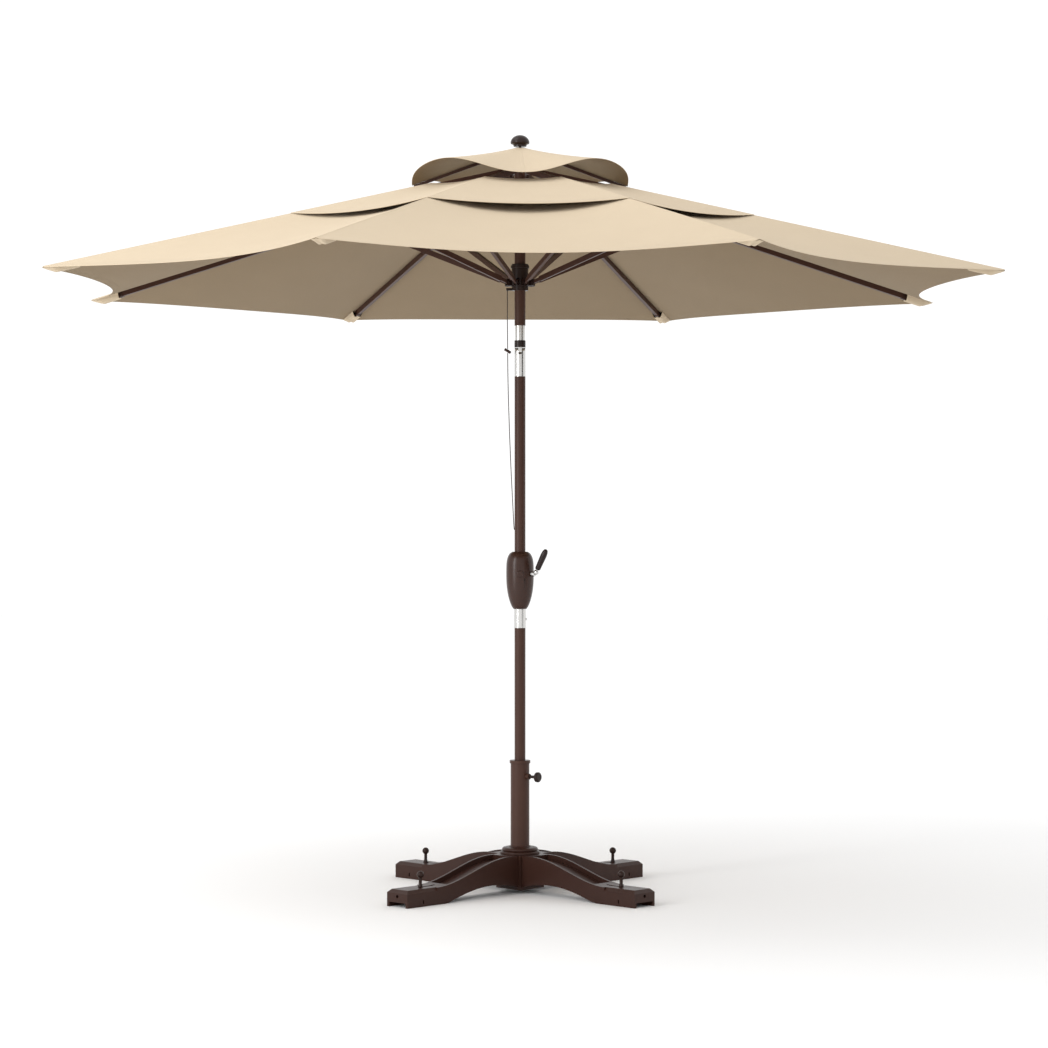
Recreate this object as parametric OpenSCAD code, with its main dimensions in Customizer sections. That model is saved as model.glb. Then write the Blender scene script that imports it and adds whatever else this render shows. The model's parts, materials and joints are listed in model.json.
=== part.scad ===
// Crank-lift market umbrella with a two-tier canopy, a vent cap and a four-legged cast base.
// Millimetres, +Z up. The origin is on the ground, under the middle of the pole.

/* [Canopy] */
// Radius from the pole's axis to each corner of the canopy
canopy_r = 1690; // [1400:10:2030]
// Slope of the open ribs below level, in degrees
rib_slope = 14; // [10:0.5:18]
// Turn of the canopy about the pole against the base, in degrees
canopy_turn = 1.5; // [-10:0.5:10]
// How far the hem curves in from a straight line between two corners
hem_curve = 140; // [60:10:200]
// How far the middle of a panel hangs below a flat panel, at the hem
panel_sag = 48; // [20:2:80]
// Radius of the main canopy's inner edge, which the flounce covers
main_inner_r = 620; // [520:10:700]
// Radius of the flounce's lower corners
flounce_r = 845; // [760:5:1000]
// How far the middle of the flounce's edge hangs below a flat panel
flounce_sag = 19; // [10:1:24]
// Radius of the vent opening at the ribs
vent_r = 335; // [280:5:420]
// Thickness of the cloth
cloth_t = 1.2; // [0.8:0.1:2]

/* [Vent cap] */
// Radius of the cap's four points
cap_r = 376; // [330:2:460]
// Radius of the cap's edge half way between two points
cap_side_r = 382; // [320:2:450]
// Slope of the cap's arms below level, in degrees
cap_slope = 20; // [16:0.5:24]
// Rise of the cap's edge half way between two points
cap_lift = 62; // [30:2:90]

/* [Ribs and struts] */
// Width of a rib
rib_w = 14; // [12:0.5:18]
// Height of a rib
rib_h = 20; // [16:0.5:24]
// Distance from a rib's end out to its corner of the cloth
tip_reach = 50; // [30:1:120]
// Wall of the ribs and struts
bar_wall = 1.5; // [1:0.1:2]
// Distance of the strut's rivet along the rib, from the rib's hinge
strut_reach = 625; // [520:5:750]
// Width of a strut
strut_w = 12; // [10:0.5:14]
// Height of a strut
strut_h = 18; // [14:0.5:20]
// Diameter of the hinge pins and rivets
pin_d = 5; // [4:0.5:6]

/* [Pole] */
// Outer diameter of the pole
pole_d = 38; // [32:0.5:48]
// Wall of the pole
pole_wall = 1.6; // [1.2:0.1:2.5]
// Height of the rib hinges above the ground
crown_z = 2507; // [2350:10:3010]
// Height of the strut pivots above the ground, with the canopy open
runner_z = 2118; // [2080:2:2160]
// Height of the tilt hinge above the ground
tilt_z = 1880; // [1780:5:1900]
// Height of the crank's shaft above the ground
crank_z = 1104; // [920:5:1250]
// Diameter of the crown finial
finial_d = 66; // [50:1:80]

/* [Crank housing] */
// Largest diameter of the housing
housing_d = 96; // [88:1:116]
// Height of the housing above the shaft
housing_up = 77; // [66:1:92]
// Depth of the housing below the shaft
housing_down = 122; // [102:1:146]
// Wall of the housing
housing_wall = 3; // [2:0.5:4]
// Heading of the crank's shaft from +X, in degrees
crank_heading = -37; // [-60:1:-20]
// Lean of the crank's handle out from upright, in degrees
grip_lean = 28.5; // [15:0.5:40]

/* [Base] */
// Distance from the pole's axis to the end of each leg
leg_reach = 583; // [500:5:700]
// Width of a leg
leg_w = 100; // [84:2:120]
// Height of a foot
foot_h = 58; // [50:1:70]
// Height of the legs where they meet the post
hub_h = 131; // [110:1:157]
// Wall of the cast legs
leg_wall = 8; // [6:0.5:10]
// Depth of the sunk panel along the top of each leg
leg_sink = 18; // [4:1:22]
// Distance from the pole's axis to each ball-head bolt
ball_reach = 477; // [460:1:490]
// Diameter of the ball heads
ball_d = 24; // [18:1:30]
// Outer diameter of the base tube
tube_d = 65.5; // [60:0.5:79]
// Height of the base tube's top above the ground
tube_top = 455; // [380:5:546]
// Height of the clamp knob above the ground
knob_z = 400; // [330:5:425]
// Heading of the clamp knob from +X, in degrees
knob_heading = -40; // [-60:1:-20]

/* [Fits] */
// Radial clearance of a hinge pin in its bore
pin_gap = 0.05; // [0.02:0.01:0.1]
// Clearance between parts that slide or turn past each other
slide_gap = 0.3; // [0.2:0.05:0.5]

/* [Hidden] */
$fn = 64;

bronze = "#3c2a24";
steel = "#c9c9c9";
cloth = "#e9d8b9";
eps = 0.01;

// Ribs: eight, a half step either side of the front.
rib_step = 360 / 8;
function rib_heading(i) = -90 + rib_step * (i - 0.5) + canopy_turn;
function arm_heading(i) = -90 + 90 * (i - 1) + canopy_turn;
function leg_heading(i) = -45 + 90 * (i - 1);

pole_r = pole_d / 2;
pole_in = pole_r - pole_wall;
pin_r = pin_d / 2;
pin_bore = pin_r + pin_gap;

// The crown: a disc on the pole's top, slotted for the rib tongues.
tongue_w = 8;
tongue_gap = 0.3;
tongue_h = 12;
hinge_r = pole_r + 19;
hub_disc_r = hinge_r + 8;
hub_disc_h = 18;
slot_in = hinge_r - tongue_h / 2 - 1.5;
ear_hole = 5.2;
rib_start = 30;
rib_len = (canopy_r - tip_reach - hinge_r) / cos(rib_slope);

// The crown's stem carries the cap's arms and the finial.
stem_r = 16;
arm_pivot_r = 25;
arm_z = crown_z + 69;
stem_top = crown_z + 79;
stud_r = 5;
arm_w = 6;
arm_h = 10;
arm_gap = 0.3;
arm_ear_r = 5;
arm_len = (cap_r - arm_pivot_r) / cos(cap_slope) - 8;
finial_z = stem_top + 6;
finial_h = 40;

// The runner and the struts: each strut runs from the runner's ear up to its rivet on the rib.
runner_bore = pole_r + 1.5;
runner_r = pole_r + 10;
runner_pivot_r = pole_r + 27;
runner_low = 28;
runner_high = 64;
ear_t = 4;
rivet_r = hinge_r + strut_reach * cos(rib_slope);
rivet_z = crown_z - strut_reach * sin(rib_slope);
strut_rise = atan2(rivet_z - runner_z, rivet_r - runner_pivot_r);
strut_len = norm([rivet_r - runner_pivot_r, rivet_z - runner_z]);
fork_len = 84;
fork_t = 3;
fork_h = 16;
fork_in = rib_w / 2 + slide_gap;

// The tilt joint: a spigot's tongue between the cheeks of the sleeve.
sleeve_r = pole_r + 0.25;
sleeve_h = 89;
tilt_tongue = 12;
tilt_r = 11;
tilt_pin_r = 3;
tilt_face = 12;
collar_h = 24;
spigot_r = pole_r - 2;
spigot_top = 88;
plug_len = 40;

// The crank housing and what is in it.
mid_pole_low = crank_z + housing_up - 28;
lower_pole_high = crank_z - housing_down + 26;
shaft_r = 6;
grip_r0 = 52;
grip_root = 70;
grip_r = 11;
grip_len = 78;
ferrule_r = pole_r + 1.25;
ferrule_h = 66;
ferrule_top = crank_z - housing_down - slide_gap;
button_z = ferrule_top - 36;
button_r = 4;

// The base.
post_half = leg_w / 2 + 9;
leg_drop_in = 105;
leg_drop_out = 445;
arch_in = -20;
arch_out = 400;
arch_h = 40;
collar_r = tube_d / 2 + 35.75;
collar_top = hub_h + 27;
tube_r = tube_d / 2;
tube_wall = 3;
lip_h = 10;
pole_low = hub_h + 9;
bolt_r = 4;
tap_depth = 7.7;
ball_stem_r = 5.5;
ball_z = foot_h + 42;
slot_len = 60;
foot_slot_r = ball_stem_r + slide_gap;

// The pull cord's route, from the runner's eyelet to the toggle and from the toggle to the pole.
cord_d = 3;
cord_high = [[-44, 0, 2099], [-44, 0, 2050], [-44, 0, 1990], [-43.5, 0, 1940], [-43, 0, 1887]];
cord_low = [
    [-43, 0, 1873], [-42.5, 0, 1820], [-41.5, 0, 1760], [-40, 0, 1700], [-38, 0, 1640],
    [-36, 0, 1580], [-33.5, 0, 1520], [-31, 0, 1460], [-28, 0, 1400], [-25, 0, 1340],
    [-22.4, 0, 1290], [-20.6, 0, 1262], [-19, 0, 1257]
];
cord_hole_z = 1258;
cord_hole_r = 4.5;
toggle_at = [-43, 0, 1880];

// ---------- small shared shapes ----------

// A tube along Z.
module tube(outer, inner, low, high) {
    difference() {
        translate([0, 0, low]) cylinder(r = outer, h = high - low);
        translate([0, 0, low - 1]) cylinder(r = inner, h = high - low + 2);
    }
}

// A round bar along Y, centred.
module cross_bar(r, len) {
    rotate([90, 0, 0]) cylinder(r = r, h = len, center = true);
}

// A box from x0 to x1, centred on Y and Z.
module bar(x0, x1, w, h) {
    translate([x0, -w / 2, -h / 2]) cube([x1 - x0, w, h]);
}

// ---------- base ----------

function smooth(t) = t <= 0 ? 0 : t >= 1 ? 1 : t * t * (3 - 2 * t);
function leg_top(x) = hub_h + (foot_h - hub_h) * smooth((x - leg_drop_in) / (leg_drop_out - leg_drop_in));
function leg_arch(x) = x >= arch_out ? 0 : arch_h * sin(180 * (arch_out - x) / (arch_out - arch_in));

// The leg's side profile between x0 and x1, with its top lowered by drop.
module leg_profile(x0, x1, drop, low) {
    steps = 24;
    polygon(concat(
        [for (k = [0:steps]) let (x = x0 + (x1 - x0) * k / steps) [x, leg_top(x) - drop]],
        [for (k = [0:steps]) let (x = x1 - (x1 - x0) * k / steps) [x, low < 0 ? low : leg_arch(x)]]
    ));
}

module leg_slab(x0, x1, w, drop, low) {
    translate([0, w / 2, 0]) rotate([90, 0, 0]) linear_extrude(w) leg_profile(x0, x1, drop, low);
}

// One cast leg: an upside-down channel that arches from the post down to its foot.
module leg(i) {
    chamfer = 16;
    rim = 9;
    sunk_in = post_half + 34;
    sunk_out = ball_reach - slot_len - 26;
    color(bronze) rotate([0, 0, leg_heading(i)]) difference() {
        leg_slab(post_half, leg_reach, leg_w, 0, 0);
        // the channel below, lower under the sunk panel than at the post and in the foot
        leg_slab(post_half + leg_wall, sunk_in - leg_wall, leg_w - 2 * leg_wall, leg_wall, -1);
        leg_slab(sunk_in - leg_wall - eps, sunk_out + leg_wall, leg_w - 2 * leg_wall, leg_wall + leg_sink, -1);
        leg_slab(sunk_out + leg_wall - eps, leg_reach - leg_wall, leg_w - 2 * leg_wall, leg_wall, -1);
        // the sunk panel along the sloping top
        difference() {
            leg_slab(sunk_in, sunk_out, leg_w - 2 * rim, -5, 0);
            leg_slab(sunk_in - 1, sunk_out + 1, leg_w, leg_sink, -1);
        }
        // chamfered top edges of the foot
        for (s = [-1, 1])
            translate([leg_drop_out, s * leg_w / 2, foot_h]) rotate([45, 0, 0])
                translate([0, -chamfer / 2, -chamfer / 2]) cube([leg_reach, chamfer, chamfer]);
        translate([leg_reach, 0, foot_h]) rotate([0, 45, 0])
            cube([chamfer, leg_w + 2, chamfer], center = true);
        // slot for the ball-head bolt
        translate([ball_reach, 0, foot_h - leg_wall - 1]) cylinder(r = foot_slot_r, h = leg_wall + 8);
        translate([ball_reach - slot_len, 0, foot_h - leg_wall - 1])
            cylinder(r = foot_slot_r, h = leg_wall + 12);
        translate([ball_reach - slot_len, -foot_slot_r, foot_h - leg_wall - 1])
            cube([slot_len, 2 * foot_slot_r, leg_wall + 12]);
        // end face: a round hole over the open mouth of the channel
        translate([leg_reach - leg_wall - 1, 0, 0.62 * foot_h]) rotate([0, 90, 0])
            cylinder(r = 6, h = leg_wall + 2);
        translate([leg_reach - leg_wall - 1, 10 - leg_w / 2, -1]) cube([leg_wall + 2, leg_w - 20, 17]);
        // blind notches low in the sides
        for (s = [-1, 1]) translate([leg_reach - 76, s * leg_w / 2 - 5, 9]) cube([6, 10, 13]);
        // holes for the bolts into the post
        for (z = [0.42, 0.75]) translate([post_half - 1, 0, z * hub_h]) rotate([0, 90, 0])
            cylinder(r = bolt_r + slide_gap, h = leg_wall + 2);
    }
}

// Square cast post that the four legs bolt to.
module hub_post() {
    wall = 8;
    low = 12;
    color(bronze) rotate([0, 0, 45]) difference() {
        translate([-post_half, -post_half, low]) cube([2 * post_half, 2 * post_half, hub_h - low]);
        translate([wall - post_half, wall - post_half, low - 1])
            cube([2 * (post_half - wall), 2 * (post_half - wall), hub_h - low - wall + 1]);
        for (a = [0:90:270]) rotate([0, 0, a]) {
            for (z = [0.42, 0.75]) translate([post_half - wall - 1, 0, z * hub_h]) rotate([0, 90, 0])
                cylinder(r = bolt_r + slide_gap, h = wall + 2);
            translate([post_half - 20, 0, hub_h - wall - 1]) cylinder(r = bolt_r + slide_gap, h = wall + 2);
        }
    }
}

// Bolts that hold the legs and the collar to the post.
module hub_bolts() {
    wall = 8;
    head_h = 5;
    color(bronze) for (a = [0:90:270]) rotate([0, 0, 45 + a]) {
        for (z = [0.42, 0.75]) translate([post_half - wall, 0, z * hub_h]) rotate([0, 90, 0]) {
            translate([0, 0, -head_h]) cylinder(r = 7.5, h = head_h, $fn = 6);
            translate([0, 0, -eps]) cylinder(r = bolt_r, h = wall + leg_wall + head_h + 1);
            translate([0, 0, wall + leg_wall]) cylinder(r = 7.5, h = head_h, $fn = 6);
        }
        translate([post_half - 20, 0, hub_h - wall]) {
            translate([0, 0, -head_h]) cylinder(r = 7.5, h = head_h, $fn = 6);
            translate([0, 0, -eps]) cylinder(r = bolt_r, h = wall + tap_depth - 0.2);
        }
    }
}

// Steel tube that holds the pole, closed at the top by a reducer lip.
module base_tube() {
    color(bronze) difference() {
        union() {
            translate([0, 0, pole_low]) cylinder(r = tube_r, h = tube_top - pole_low);
            translate([0, 0, tube_top - lip_h]) cylinder(r = tube_r + 3.25, h = lip_h);
            rotate([0, 0, knob_heading]) translate([tube_r - 4, 0, knob_z]) rotate([0, 90, 0])
                cylinder(r = 10, h = 14);
        }
        translate([0, 0, pole_low - 1]) cylinder(r = tube_r - tube_wall, h = tube_top - pole_low - lip_h + 1);
        cylinder(r = pole_r + slide_gap, h = tube_top + 1);
        rotate([0, 0, knob_heading]) translate([tube_r - 8, 0, knob_z]) rotate([0, 90, 0])
            cylinder(r = stud_r + pin_gap, h = 30);
    }
}

// Cast collar between the tube and the post, with a socket for the pole's foot.
module tube_collar() {
    socket_h = 46;
    color(bronze) difference() {
        union() {
            rotate_extrude() polygon([
                [0, hub_h], [collar_r, hub_h], [collar_r, hub_h + 7], [collar_r - 2, hub_h + 9],
                [collar_r - 9, hub_h + 10], [collar_r - 6, hub_h + 13], [collar_r - 6, hub_h + 17],
                [collar_r - 9, hub_h + 21], [collar_r - 15, hub_h + 23], [tube_r + 6, hub_h + 24],
                [tube_r + 4, collar_top], [0, collar_top]
            ]);
        }
        translate([0, 0, pole_low - slide_gap]) difference() {
            cylinder(r = tube_r + 0.1, h = collar_top);
            translate([0, 0, -1]) cylinder(r = tube_r - tube_wall - 0.5, h = socket_h + 1);
        }
        translate([0, 0, pole_low - slide_gap]) cylinder(r = pole_r + slide_gap, h = collar_top);
        for (a = [0:90:270]) rotate([0, 0, 45 + a]) translate([post_half - 20, 0, hub_h - 1])
            cylinder(r = bolt_r + 0.1, h = 1 + tap_depth);
    }
}

// Clamp knob: a fluted head on a threaded stem that presses on the pole.
module clamp_knob() {
    head_r = 17.5;
    head_h = 14;
    head_at = 73;
    color(bronze) rotate([0, 0, knob_heading]) translate([0, 0, knob_z]) rotate([0, 90, 0]) {
        translate([0, 0, pole_r + slide_gap]) cylinder(r = stud_r, h = head_at - pole_r);
        translate([0, 0, head_at - 8]) cylinder(r1 = 7, r2 = 10, h = 8 + eps);
        translate([0, 0, head_at]) rotate_extrude() polygon([
            [0, 0], [head_r - 3, 0], [head_r, 3], [head_r, head_h - 4], [head_r - 5, head_h], [0, head_h]
        ]);
    }
}

// Ball-head bolt with its washer above the foot and its nut below.
module ball_bolt(i) {
    nut_h = 9;
    top = foot_h + slide_gap;
    color(bronze) rotate([0, 0, leg_heading(i)]) translate([ball_reach, 0, 0]) {
        translate([0, 0, ball_z]) sphere(r = ball_d / 2);
        translate([0, 0, foot_h - leg_wall - nut_h]) cylinder(r = ball_stem_r - 0.5, h = nut_h + leg_wall + 2);
        translate([0, 0, top]) cylinder(r = ball_stem_r, h = ball_z - top);
        translate([0, 0, top]) cylinder(r = 9, h = 2.5);
        translate([0, 0, top + 2]) cylinder(r1 = 8, r2 = ball_stem_r, h = 10);
        translate([0, 0, foot_h - leg_wall - slide_gap - nut_h]) cylinder(r = 9.5, h = nut_h, $fn = 6);
    }
}

// ---------- pole ----------

module lower_pole() {
    color(bronze) difference() {
        tube(pole_r, pole_in, pole_low, lower_pole_high);
        translate([0, 0, button_z]) rotate([0, 90, 0]) cylinder(r = button_r + 0.1, h = pole_d);
    }
}

// Bright sleeve over the joint between the lower pole and the housing.
module pole_ferrule() {
    color(steel) difference() {
        tube(ferrule_r, pole_r + 0.05, ferrule_top - ferrule_h, ferrule_top);
        translate([0, 0, button_z]) rotate([0, 90, 0]) cylinder(r = button_r + 0.1, h = pole_d);
    }
}

// Sprung button that locks the pole's two halves together.
module ferrule_button() {
    tip = 3.5;
    color(steel) translate([0, 0, button_z]) rotate([0, 90, 0]) {
        translate([0, 0, pole_in - 5]) cylinder(r = button_r, h = ferrule_r + tip - pole_in + 3);
        translate([0, 0, ferrule_r + tip - 2]) cylinder(r1 = button_r, r2 = button_r - 1.5, h = 2);
    }
}

function barrel_up(t) = (1 - pow(t, 5)) * 0.42 + pow(1 - pow(t, 3), 0.5) * 0.58;
function barrel_down(t) = pow(1 - pow(t, 2.4), 0.8);
housing_r = housing_d / 2;
housing_top_r = pole_r + 8;
housing_low_r = pole_r + 4;

// Barrel outline of the housing, shrunk by inset.
module barrel(inset) {
    steps = 14;
    up = housing_up - inset;
    down = housing_down - inset;
    polygon(concat(
        [[0, crank_z - down]],
        [for (k = [steps:-1:1]) let (t = k / steps)
            [housing_low_r - inset + (housing_r - housing_low_r) * barrel_down(t), crank_z - down * t]],
        [for (k = [0:steps]) let (t = k / steps)
            [housing_top_r - inset + (housing_r - housing_top_r) * barrel_up(t), crank_z + up * t]],
        [[0, crank_z + up]]
    ));
}

// The whole housing shell, with sockets for the pole above and below.
module housing_shell() {
    socket = 30;
    difference() {
        rotate_extrude() barrel(0);
        difference() {
            rotate_extrude() barrel(housing_wall);
            translate([0, 0, crank_z + housing_up - socket]) cylinder(r = pole_r + 4, h = socket);
            translate([0, 0, crank_z - housing_down]) cylinder(r = pole_r + 3, h = socket);
        }
        translate([0, 0, crank_z - housing_down - 1]) cylinder(r = pole_r + 0.1, h = 300);
    }
}

module housing_half(side) {
    difference() {
        intersection() {
            housing_shell();
            translate([-100, side < 0 ? -100 : 0.1, crank_z - 200]) cube([200, 99.9, 400]);
        }
        translate([0, 0, crank_z]) rotate([0, 0, crank_heading]) rotate([0, 90, 0])
            cylinder(r = shaft_r + slide_gap, h = 100);
    }
}

// Front half of the housing: a round cap over the screw post, and the long brake slot.
module housing_front() {
    boss_at = housing_r - 6;
    color(bronze) difference() {
        union() {
            housing_half(-1);
            translate([0, 0, crank_z]) rotate([90, 0, 0]) translate([0, 0, boss_at]) rotate_extrude() polygon([
                [0, 0], [12, 0], [12, 6.5], [11, 8], [9, 8.8], [0, 9]
            ]);
        }
        translate([14, -housing_r - 2, crank_z - 50]) cube([5, 8, 34]);
    }
}

module housing_back() {
    color(bronze) housing_half(1);
}

// Spool on the crank's shaft, where the lift line winds up.
module cord_spool() {
    half = 16;
    color(steel) translate([0, 0, crank_z]) rotate([0, 0, crank_heading]) rotate([0, 90, 0]) difference() {
        union() {
            translate([0, 0, -half]) cylinder(r = 11, h = 2 * half);
            for (z = [-half, half - 2.5]) translate([0, 0, z]) cylinder(r = 20, h = 2.5);
        }
        translate([0, 0, -half - 1]) cylinder(r = shaft_r + pin_gap, h = 2 * half + 2);
    }
}

// Bright crank: shaft, knuckle and the spindle that the grip turns on.
module crank_arm() {
    color(steel) translate([0, 0, crank_z]) rotate([0, 0, crank_heading]) {
        rotate([0, 90, 0]) translate([0, 0, -22]) cylinder(r = shaft_r, h = 22 + grip_r0);
        translate([grip_r0, 0, 0]) rotate([0, 90, 0]) cylinder(r = 9, h = 12);
        translate([grip_root, 0, 6]) sphere(r = 9);
        translate([grip_r0 + 4, 0, 0]) rotate([0, 72, 0]) cylinder(r = 6, h = 16);
        translate([grip_root, 0, 6]) rotate([0, grip_lean, 0]) cylinder(r = 4, h = grip_len + 8);
    }
}

// Hand grip that spins on the crank's spindle.
module crank_grip() {
    root = 11;
    color(bronze) translate([0, 0, crank_z]) rotate([0, 0, crank_heading]) translate([grip_root, 0, 6])
        rotate([0, grip_lean, 0]) difference() {
            rotate_extrude() polygon([
                [0, root], [7.5, root], [9.5, root + 3], [grip_r - 1, root + 20], [grip_r, grip_len - 12],
                [grip_r - 1, grip_len], [grip_r - 4, grip_len + 9], [grip_r - 8, grip_len + 12],
                [0, grip_len + 12]
            ]);
            translate([0, 0, root - 1]) cylinder(r = 4 + pin_gap, h = grip_len - root + 9.3);
        }
}

module mid_pole() {
    color(bronze) difference() {
        tube(pole_r, pole_in, mid_pole_low, tilt_z - sleeve_h);
        translate([-pole_d, 0, cord_hole_z]) rotate([0, 90, 0]) cylinder(r = cord_hole_r, h = pole_d);
    }
}

// Bright lower half of the tilt joint: a sleeve with two cheeks and the hinge pin.
module tilt_sleeve() {
    color(steel) translate([0, 0, tilt_z]) {
        difference() {
            union() {
                translate([0, 0, -sleeve_h]) cylinder(r = sleeve_r, h = sleeve_h);
                intersection() {
                    rotate([0, 90, 0]) cylinder(r = tilt_r, h = 2 * sleeve_r, center = true);
                    translate([0, 0, -1]) cylinder(r = sleeve_r, h = 30);
                }
                translate([0, 0, -sleeve_h - plug_len]) cylinder(r = pole_in - 0.1, h = plug_len + eps);
            }
            translate([-tilt_tongue / 2 - slide_gap, -50, -tilt_r - 1])
                cube([tilt_tongue + 2 * slide_gap, 100, 50]);
        }
        rotate([0, 90, 0]) cylinder(r = tilt_pin_r, h = 2 * sleeve_r - 4, center = true);
    }
}

// Bright upper half of the tilt joint: a tongue under a spigot that plugs into the upper pole.
module tilt_spigot() {
    color(steel) translate([0, 0, tilt_z]) difference() {
        union() {
            translate([0, 0, tilt_face]) cylinder(r = spigot_r, h = spigot_top - tilt_face);
            translate([0, 0, spigot_top - eps]) cylinder(r = pole_in - 0.1, h = plug_len);
            rotate([0, 90, 0]) cylinder(r = tilt_r, h = tilt_tongue, center = true);
            translate([-tilt_tongue / 2, -tilt_r, 0]) cube([tilt_tongue, 2 * tilt_r, tilt_face + 1]);
        }
        rotate([0, 90, 0]) cylinder(r = tilt_pin_r + pin_gap, h = 60, center = true);
    }
}

// Dark turning collar over the spigot: turning it tilts the canopy.
module tilt_collar() {
    low = tilt_z + tilt_face + 0.5;
    color(bronze) rotate_extrude() polygon([
        [spigot_r + pin_gap, low], [pole_r, low], [pole_r + 0.5, low + 1], [pole_r + 0.5, low + collar_h - 1],
        [pole_r, low + collar_h], [spigot_r + pin_gap, low + collar_h]
    ]);
}

module upper_pole() {
    color(bronze) tube(pole_r, pole_in, tilt_z + spigot_top, crown_z + hub_disc_h / 2);
}

// ---------- crown ----------

// Slotted crown: eight rib hinges below, four arm hinges and the finial's stud above.
module crown_hub() {
    arm_ear = 5;
    color(bronze) difference() {
        union() {
            translate([0, 0, crown_z - hub_disc_h / 2]) cylinder(r = hub_disc_r, h = hub_disc_h);
            translate([0, 0, crown_z]) cylinder(r = slot_in, h = hub_disc_h / 2 + 6);
            translate([0, 0, crown_z]) cylinder(r = stem_r, h = stem_top - crown_z);
            translate([0, 0, stem_top - 1]) cylinder(r = stud_r, h = 27);
            for (i = [1:4]) rotate([0, 0, arm_heading(i)]) for (s = [-1, 1])
                translate([0, s * (arm_w / 2 + arm_gap + arm_ear / 2), arm_z]) {
                    translate([arm_pivot_r, 0, 0]) cross_bar(arm_ear_r, arm_ear);
                    translate([0, -arm_ear / 2, -arm_ear_r]) cube([arm_pivot_r, arm_ear, 2 * arm_ear_r]);
                }
        }
        // the pole's seat
        translate([0, 0, crown_z - hub_disc_h]) cylinder(r = pole_r + 0.1, h = 1.5 * hub_disc_h);
        for (i = [1:8]) rotate([0, 0, rib_heading(i)]) {
            translate([slot_in, -tongue_w / 2 - tongue_gap, crown_z - 20])
                cube([hub_disc_r, tongue_w + 2 * tongue_gap, 40]);
            translate([hinge_r, 0, crown_z]) cross_bar(pin_bore, tongue_w + 2 * tongue_gap + 2 * ear_hole);
        }
        for (i = [1:4]) rotate([0, 0, arm_heading(i)]) {
            // room for the folded arm beside the disc, and the arm's slot and pin hole
            translate([arm_pivot_r + 1.5, -arm_w / 2 - 0.9, crown_z - 20]) cube([40, arm_w + 1.8, 60]);
            translate([stem_r + 2, -arm_w / 2 - arm_gap, arm_z - 20]) cube([40, arm_w + 2 * arm_gap, 40]);
            translate([arm_pivot_r, 0, arm_z]) cross_bar(pin_bore - 0.5, arm_w + 20);
        }
    }
}

// Turned finial that screws down on the cap's cloth.
module finial() {
    r = finial_d / 2;
    color(bronze) translate([0, 0, finial_z]) difference() {
        rotate_extrude() polygon(concat(
            [[0, 0], [0.68 * r, 0], [0.7 * r, 5], [0.8 * r, 8], [r - 2, 9], [r, 12]],
            [for (a = [0:10:90]) [r * cos(a), 13 + (finial_h - 13) * sin(a)]]
        ));
        translate([0, 0, -1]) cylinder(r = stud_r + pin_gap, h = 24);
    }
}

// Runner that slides on the pole, with a slotted ear for each strut and an eyelet for the cord.
module runner() {
    ear_out = runner_pivot_r + 7;
    ear_low = -12;
    ear_high = 11;
    color(bronze) translate([0, 0, runner_z]) difference() {
        union() {
            translate([0, 0, -runner_low]) cylinder(r = runner_r, h = runner_low + runner_high);
            translate([0, 0, runner_high - 14]) cylinder(r = runner_r + 3, h = 9);
            for (i = [1:8]) rotate([0, 0, rib_heading(i)]) for (s = [-1, 1])
                translate([pole_r + 5, s * (tongue_w / 2 + 0.5 + ear_t / 2) - ear_t / 2, ear_low])
                    cube([ear_out - pole_r - 5, ear_t, ear_high - ear_low]);
            translate([-runner_pivot_r - 2, -5, -runner_low]) cube([runner_pivot_r, 10, 9]);
        }
        translate([0, 0, -runner_low - 1]) cylinder(r = runner_bore, h = 200);
        translate([-runner_pivot_r + 2, 0, -runner_low - 1]) cylinder(r = 2.2, h = 12);
    }
}

// ---------- canopy frame ----------

// One rib: a box-section bar with a tongue and hinge pin at the crown and a rivet hole for its strut.
module rib(i) {
    color(bronze) rotate([0, 0, rib_heading(i)]) translate([hinge_r, 0, crown_z]) rotate([0, rib_slope, 0]) {
        difference() {
            union() {
                cross_bar(tongue_h / 2, tongue_w);
                bar(0, rib_start + 2, tongue_w, tongue_h);
                bar(rib_start, rib_len, rib_w, rib_h);
                cross_bar(pin_r, tongue_w + 2 * tongue_gap + 2 * ear_hole - 0.4);
            }
            bar(rib_start + 6, rib_len - 6, rib_w - 2 * bar_wall, rib_h - 2 * bar_wall);
            translate([strut_reach, 0, 0]) cross_bar(pin_bore, 40);
        }
    }
}

// One strut: an eye at the runner, a box-section bar, and a fork with its rivet astride the rib.
module strut(i) {
    shoulder = strut_len - fork_len;
    fork_w = 2 * (fork_in + fork_t);
    color(bronze) rotate([0, 0, rib_heading(i)]) translate([runner_pivot_r, 0, runner_z])
        rotate([0, -strut_rise, 0]) {
            difference() {
                union() {
                    cross_bar(7, tongue_w);
                    bar(0, rib_start + 2, tongue_w, tongue_h);
                    bar(rib_start, shoulder, strut_w, strut_h);
                    bar(shoulder - 12, shoulder, fork_w, strut_h);
                }
                bar(rib_start + 6, shoulder - 16, strut_w - 2 * bar_wall, strut_h - 2 * bar_wall);
                cross_bar(pin_bore, 40);
            }
            for (s = [-1, 1]) translate([0, s * (fork_in + fork_t / 2), 0]) {
                bar(shoulder - 1, strut_len, fork_t, fork_h);
                translate([strut_len, 0, 0]) cross_bar(fork_h / 2, fork_t);
            }
            translate([strut_len, 0, 0]) cross_bar(pin_r, fork_w + 3);
        }
}

// One arm of the vent cap.
module cap_arm(i) {
    color(bronze) rotate([0, 0, arm_heading(i)]) translate([arm_pivot_r, 0, arm_z]) rotate([0, cap_slope, 0]) {
        cross_bar(arm_h / 2, arm_w);
        bar(0, arm_len, arm_w, arm_h);
        cross_bar(pin_bore - 0.5 - pin_gap, arm_w + 8);
    }
}

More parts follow.
